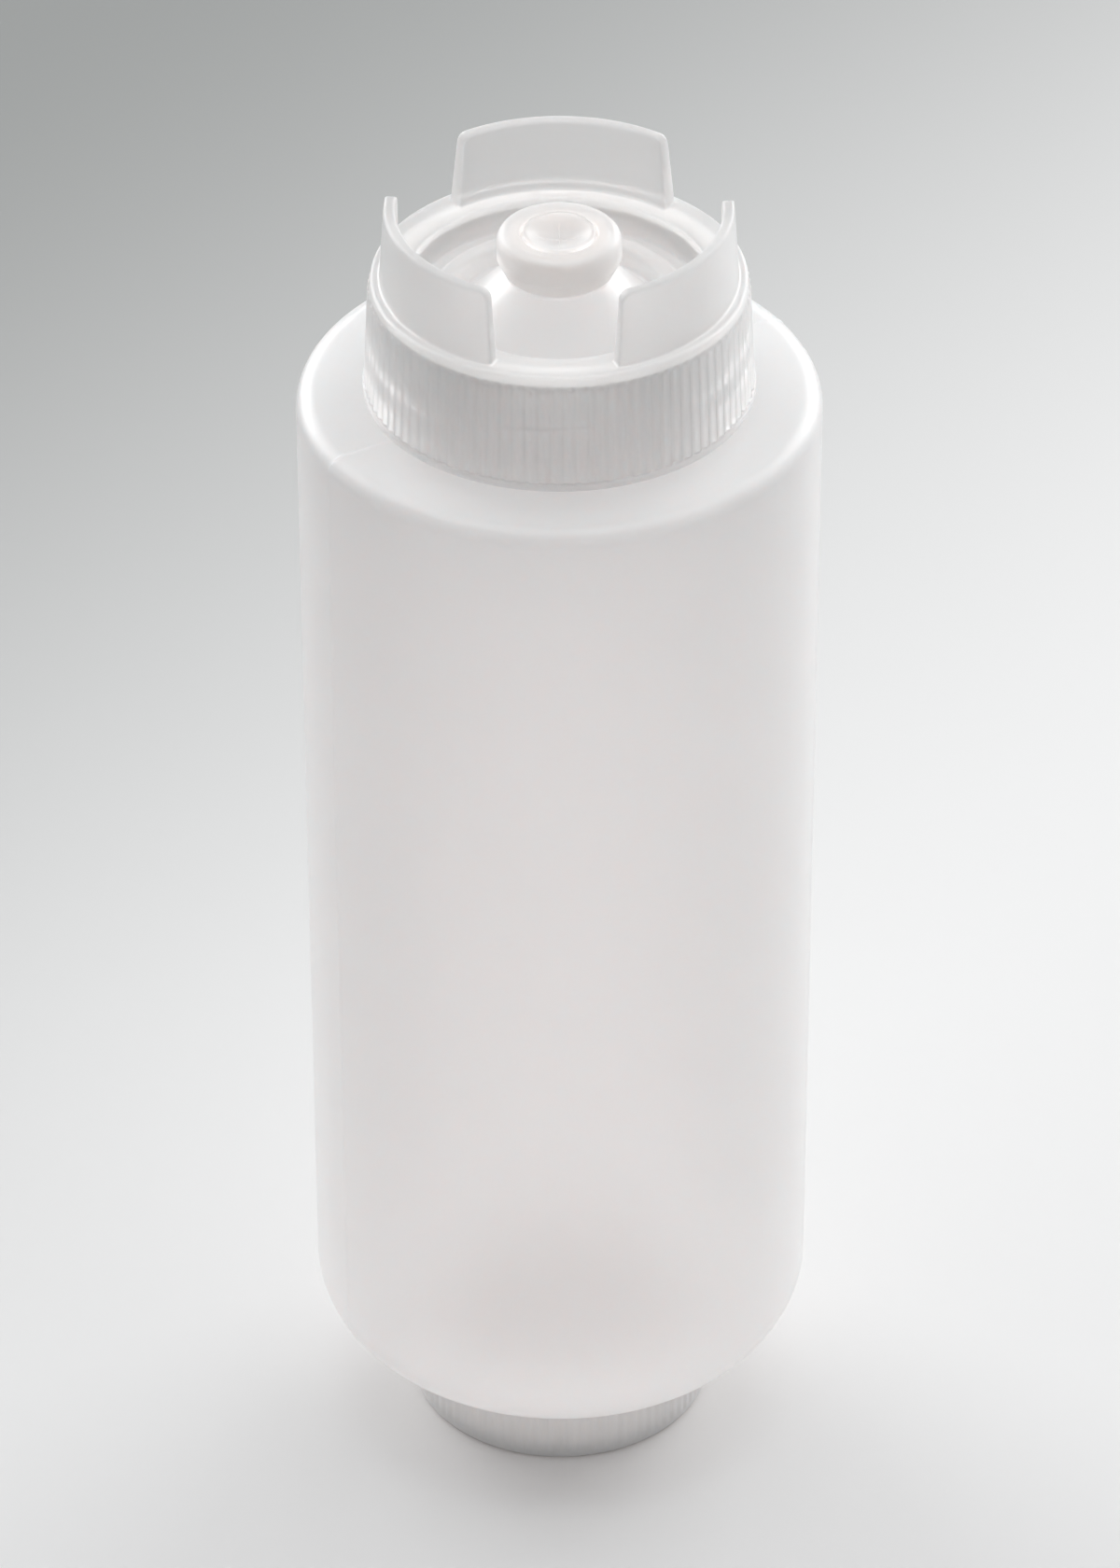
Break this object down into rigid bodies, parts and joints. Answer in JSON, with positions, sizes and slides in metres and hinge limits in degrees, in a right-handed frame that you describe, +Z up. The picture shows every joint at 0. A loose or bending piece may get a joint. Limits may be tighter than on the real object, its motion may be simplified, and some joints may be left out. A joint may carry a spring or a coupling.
{
  "type": "squeeze bottle",
  "caption": "Tall round squeeze bottle that stands on a ribbed screw cap, with a second screw cap on top that holds a slit valve inside a crown of prongs.",
  "frame": {"origin": "centre of the refill cap's end face, on the surface that the bottle stands on", "axes": "+Z runs up the common axis of both caps and the bottle, towards the valve; the gap of the crown that faces the viewer is towards -Y, and +X is to the viewer's right"},
  "size_m": [0.076, 0.076, 0.2154],
  "materials": {
    "soft_plastic": "translucent milky white, satin",
    "cap_plastic": "translucent milky white, satin, moulded",
    "ring_plastic": "milky white, lightly polished",
    "silicone": "frosted clear silicone",
    "washer_foam": "white polyethylene foam"
  },
  "bodies": {
    "bottle": {"bottle": "soft_plastic"},
    "dispensing_washer": {"dispensing_washer": "washer_foam"},
    "dispensing_cap": {"dispensing_cap": "cap_plastic", "valve": "silicone", "valve_ring": "ring_plastic"},
    "refill_washer": {"refill_washer": "washer_foam"},
    "refill_cap": {"refill_cap": "cap_plastic"}
  },
  "joints": [
    {"name": "dispensing_cap_rise", "type": "slide", "parent": "bottle", "child": "dispensing_washer", "axis": [0, 0, 1], "range_m": [0, 0.0161]},
    {"name": "dispensing_cap_turn", "type": "hinge", "parent": "dispensing_washer", "child": "dispensing_cap", "pos_m": [0, 0, 0.2006], "axis": [0, 0, 1], "range_deg": [0, 1152]},
    {"name": "refill_cap_rise", "type": "slide", "parent": "bottle", "child": "refill_washer", "axis": [0, 0, -1], "range_m": [0, 0.0127]},
    {"name": "refill_cap_turn", "type": "hinge", "parent": "refill_washer", "child": "refill_cap", "pos_m": [0, 0, 0.0018], "axis": [0, 0, -1], "range_deg": [0, 1080]}
  ],
  "couplings": [
    {"joint": "dispensing_cap_rise", "follows": "dispensing_cap_turn", "m_per_rad": 0.00079577},
    {"joint": "refill_cap_rise", "follows": "refill_cap_turn", "m_per_rad": 0.00066845}
  ]
}
